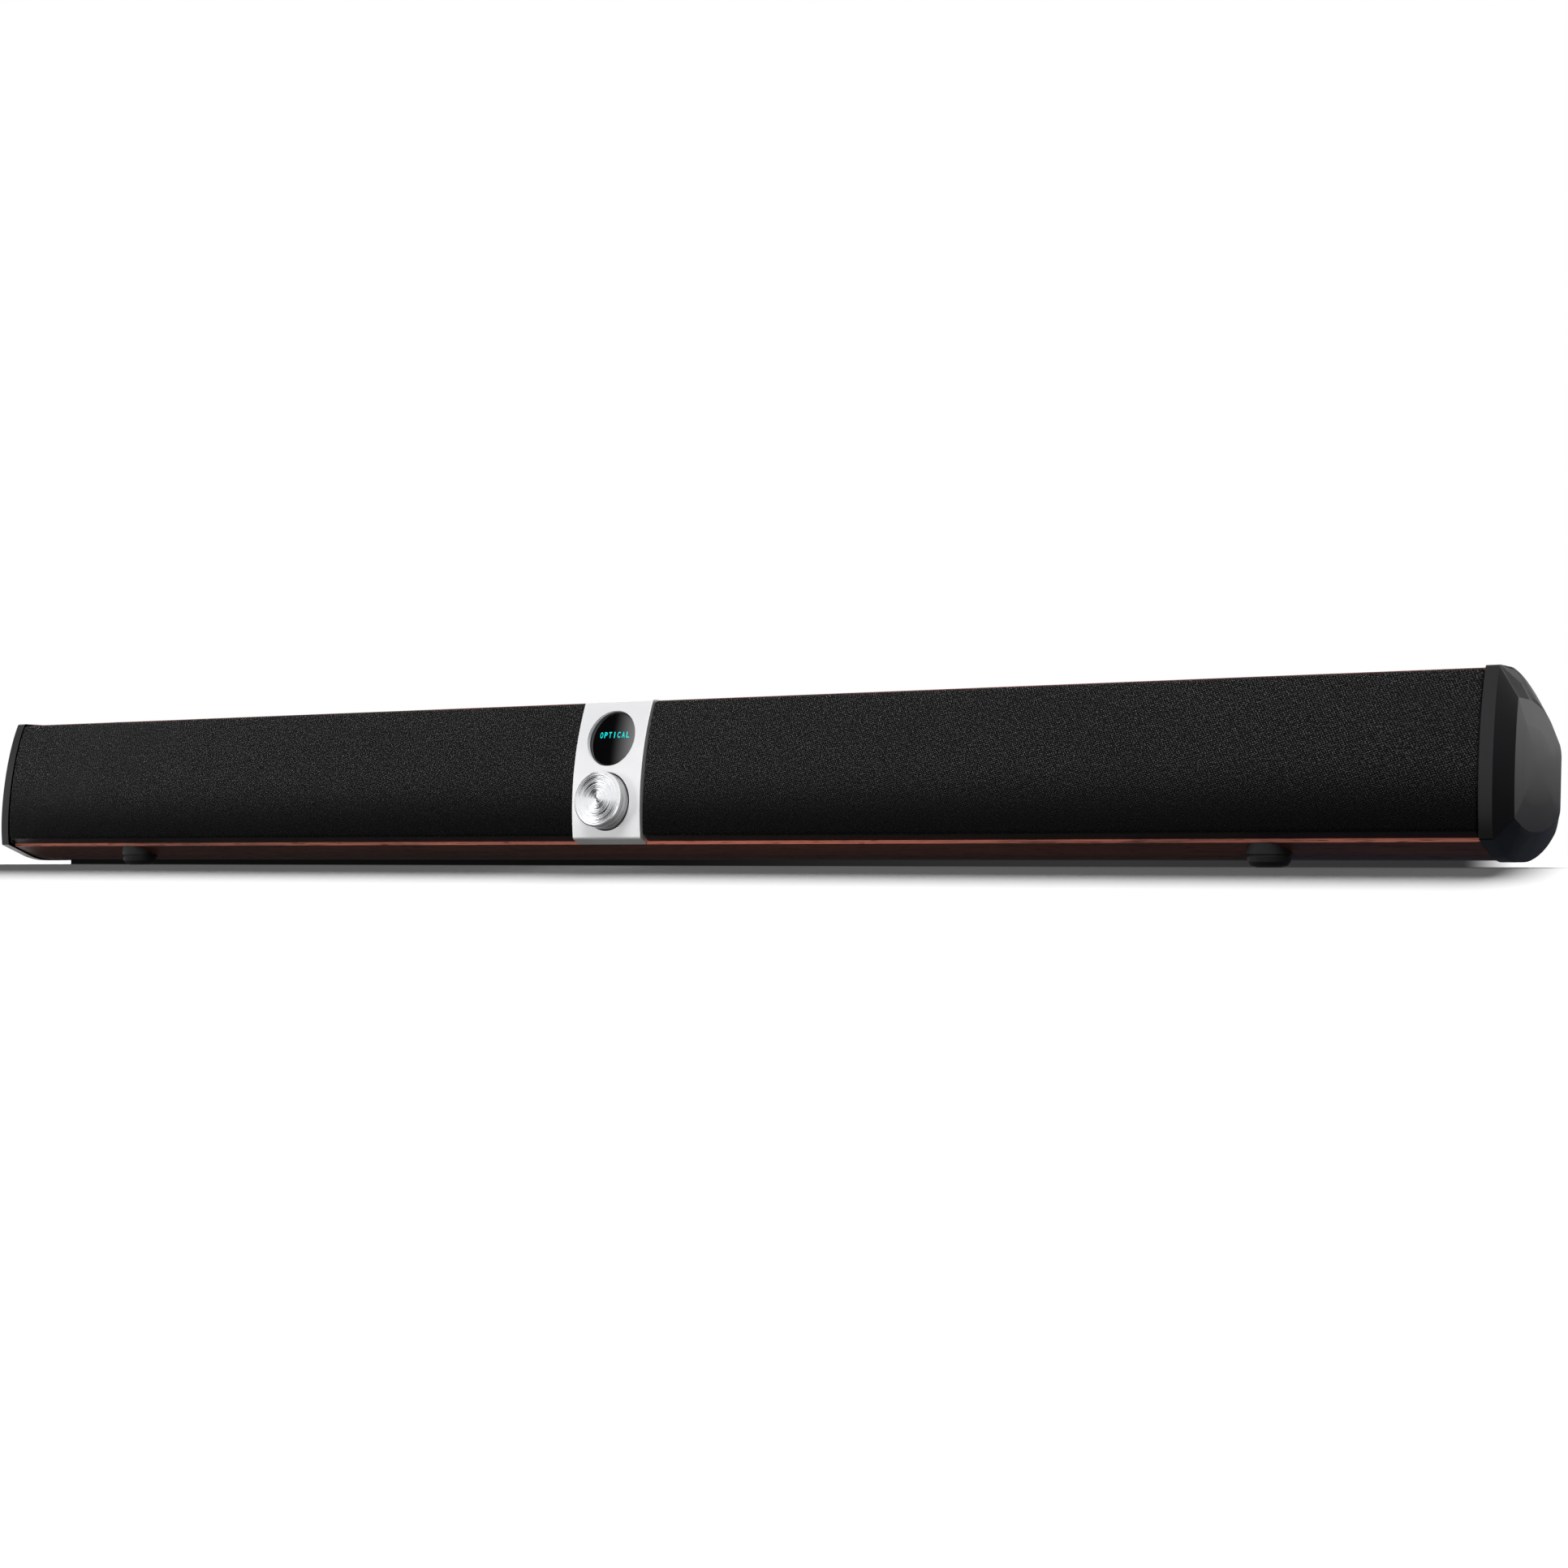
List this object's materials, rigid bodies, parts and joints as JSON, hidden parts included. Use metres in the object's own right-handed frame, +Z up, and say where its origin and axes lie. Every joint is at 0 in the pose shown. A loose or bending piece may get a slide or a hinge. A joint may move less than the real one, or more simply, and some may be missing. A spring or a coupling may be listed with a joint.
{
  "type": "soundbar",
  "caption": "Long table-top soundbar with cloth grilles, wood-wrapped case, faceted end caps, and a centre panel with a round display and a turn-and-press knob.",
  "frame": {"origin": "on the surface it stands on, under the middle of its overall box", "axes": "+X along the bar to its right as seen from behind the front, front faces -Y, +Z up"},
  "size_m": [0.9576, 0.1192, 0.0886],
  "materials": {
    "case_wood": "dark reddish walnut wrap, satin",
    "raw_board": "raw fibreboard",
    "foam": "closed-cell foam",
    "cap_black": "satin to gloss black",
    "grille_plastic": "moulded, matt",
    "grille_cloth": "fine acoustic weave",
    "panel_silver": "satin die-cast",
    "trim_black": "moulded, matt",
    "display_glass": "tinted acrylic, gloss",
    "module_black": "moulded",
    "circuit_board": "solder mask",
    "turned_aluminium": "spun face, bright chamfer",
    "steel": "plated",
    "acetal": "moulded",
    "basket_black": "pressed steel, black",
    "magnet": "ferrite and steel",
    "paper_cone": "doped paper",
    "surround_rubber": "half roll",
    "tweeter_black": "moulded",
    "dome_silk": "doped silk",
    "port_plastic": "moulded",
    "heat_sink_aluminium": "extruded",
    "housing_plastic": "fine moulded texture",
    "plate_black": "black coat",
    "rca_plastic": "moulded",
    "foot_rubber": "soft black",
    "lead_jacket": "PVC jacket",
    "ribbon_film": "film"
  },
  "bodies": {
    "cabinet": {"cabinet_shell": "case_wood", "case_screws": "steel", "chamber_dividers": "raw_board", "control_board": "circuit_board", "control_panel": "panel_silver", "display_bezel": "trim_black", "display_lens": "display_glass", "display_module": "module_black", "encoder_body": "module_black", "encoder_nut": "steel", "end_cap_left": "cap_black", "end_cap_right": "cap_black", "end_gaskets": "foam", "end_panel_left": "raw_board", "end_panel_right": "raw_board", "foot_left": "foot_rubber", "foot_right": "foot_rubber", "front_baffle": "raw_board", "grille_cloth_left": "grille_cloth", "grille_cloth_right": "grille_cloth", "grille_frame_left": "grille_plastic", "grille_frame_right": "grille_plastic", "heat_sink": "heat_sink_aluminium", "jack_plate": "plate_black", "knob_ring": "trim_black", "main_board": "circuit_board", "mains_inlet": "module_black", "optical_jack": "module_black", "panel_ribbon": "ribbon_film", "port_tube_left": "port_plastic", "port_tube_right": "port_plastic", "power_board": "circuit_board", "rca_jacks": "rca_plastic", "rear_housing": "housing_plastic", "rear_pads": "foot_rubber", "speaker_leads": "lead_jacket", "tweeter_dome_left": "dome_silk", "tweeter_dome_right": "dome_silk", "tweeter_left": "tweeter_black", "tweeter_right": "tweeter_black", "woofer_frame_1": "basket_black", "woofer_frame_2": "basket_black", "woofer_frame_3": "basket_black", "woofer_frame_4": "basket_black", "woofer_magnet_1": "magnet", "woofer_magnet_2": "magnet", "woofer_magnet_3": "magnet", "woofer_magnet_4": "magnet", "woofer_surround_1": "surround_rubber", "woofer_surround_2": "surround_rubber", "woofer_surround_3": "surround_rubber", "woofer_surround_4": "surround_rubber"},
    "knob_press": {"encoder_plunger": "acetal"},
    "knob": {"knob_cap": "turned_aluminium", "knob_hub": "module_black", "encoder_shaft": "steel"},
    "cone_1": {"woofer_cone_1": "paper_cone"},
    "cone_2": {"woofer_cone_2": "paper_cone"},
    "cone_3": {"woofer_cone_3": "paper_cone"},
    "cone_4": {"woofer_cone_4": "paper_cone"}
  },
  "joints": [
    {"name": "knob_push", "type": "slide", "parent": "cabinet", "child": "knob_press", "axis": [0, 0.9877, -0.1564], "range_m": [0, 0.0006], "stiffness_N_per_m": 2500, "springref_m": -0.0008},
    {"name": "knob_turn", "type": "hinge", "parent": "knob_press", "child": "knob", "pos_m": [0, -0.04502, 0.03347], "axis": [0, -0.9877, 0.1564], "continuous": true},
    {"name": "cone_travel_1", "type": "slide", "parent": "cabinet", "child": "cone_1", "axis": [0, -0.9877, 0.1564], "range_m": [-0.002, 0.002], "stiffness_N_per_m": 1500, "deforming": ["woofer_surround_1"]},
    {"name": "cone_travel_2", "type": "slide", "parent": "cabinet", "child": "cone_2", "axis": [0, -0.9877, 0.1564], "range_m": [-0.002, 0.002], "stiffness_N_per_m": 1500, "deforming": ["woofer_surround_2"]},
    {"name": "cone_travel_3", "type": "slide", "parent": "cabinet", "child": "cone_3", "axis": [0, -0.9877, 0.1564], "range_m": [-0.002, 0.002], "stiffness_N_per_m": 1500, "deforming": ["woofer_surround_3"]},
    {"name": "cone_travel_4", "type": "slide", "parent": "cabinet", "child": "cone_4", "axis": [0, -0.9877, 0.1564], "range_m": [-0.002, 0.002], "stiffness_N_per_m": 1500, "deforming": ["woofer_surround_4"]}
  ]
}
